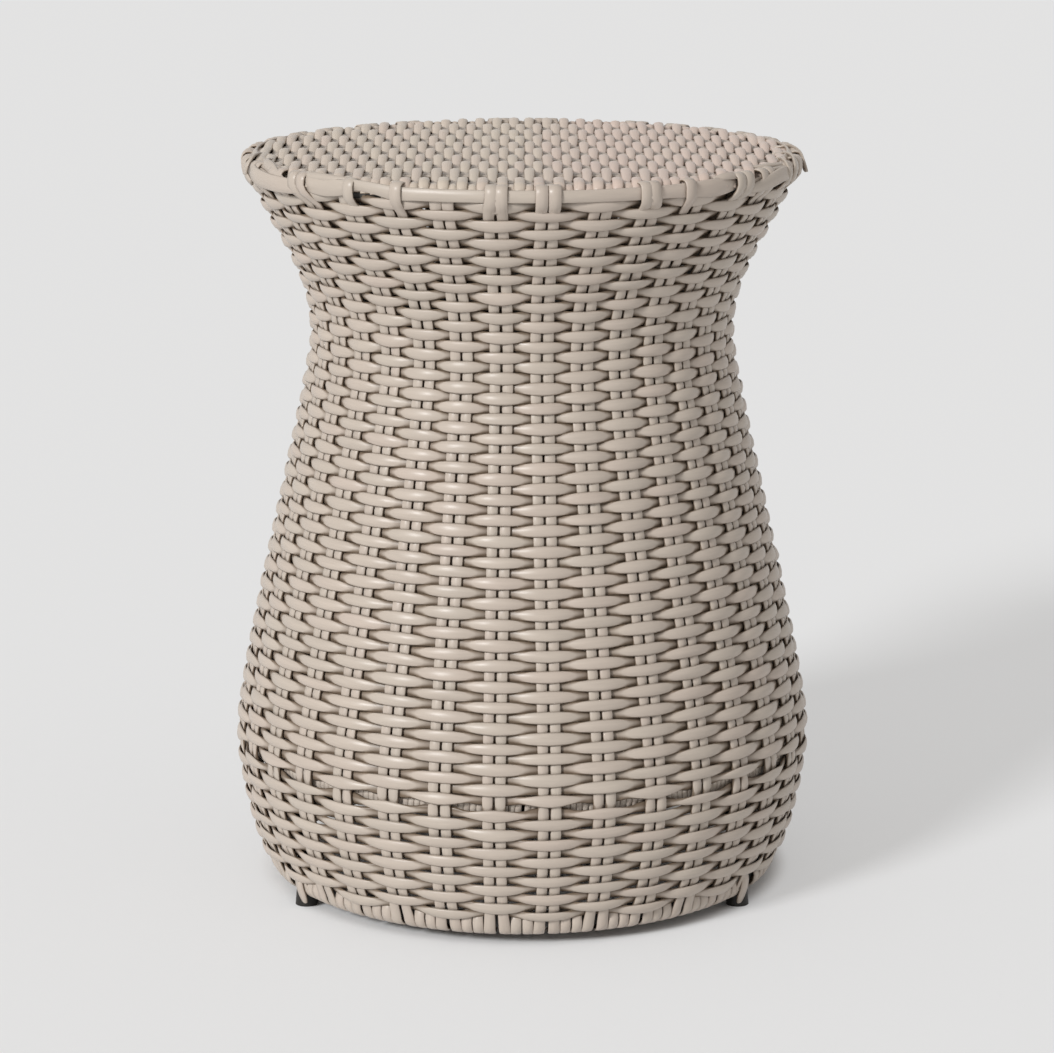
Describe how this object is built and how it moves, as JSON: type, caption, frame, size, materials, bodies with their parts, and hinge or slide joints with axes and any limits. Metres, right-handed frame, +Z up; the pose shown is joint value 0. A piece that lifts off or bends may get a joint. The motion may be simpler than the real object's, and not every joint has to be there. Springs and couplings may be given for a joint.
{
  "type": "outdoor side table",
  "caption": "Round hourglass side table for a patio: flat woven top, woven resin side over a steel tube frame, black foot tips.",
  "frame": {"origin": "on the floor under the middle of the table, in the plane of the foot tips", "axes": "+Z up; the pictured front faces -Y; +X to the right seen from the front"},
  "size_m": [0.4406, 0.4406, 0.559],
  "materials": {
    "frame_paint": "satin powder coat",
    "weave_strand": "semi-matte resin with fine lengthwise grain",
    "stake_strand": "semi-matte resin with fine lengthwise grain",
    "band_strand": "smooth semi-gloss resin",
    "foot_plastic": "black moulded plastic"
  },
  "bodies": {
    "root": {"top_ring": "frame_paint", "top_bar_cross": "frame_paint", "top_bar_front": "frame_paint", "top_bar_back": "frame_paint", "waist_ring": "frame_paint", "belly_ring": "frame_paint", "base_ring": "frame_paint", "leg_left": "frame_paint", "leg_right": "frame_paint", "leg_back": "frame_paint", "foot_left": "foot_plastic", "foot_right": "foot_plastic", "foot_back": "foot_plastic", "belly_ring_wrap": "stake_strand", "base_ring_wrap": "stake_strand", "side_weave_upper": "weave_strand", "side_weave_lower": "weave_strand", "side_stakes_over": "stake_strand", "side_stakes_under": "stake_strand", "top_weave": "weave_strand", "top_underweave": "weave_strand", "top_stakes": "stake_strand", "rim_band": "band_strand"}
  },
  "joints": []
}
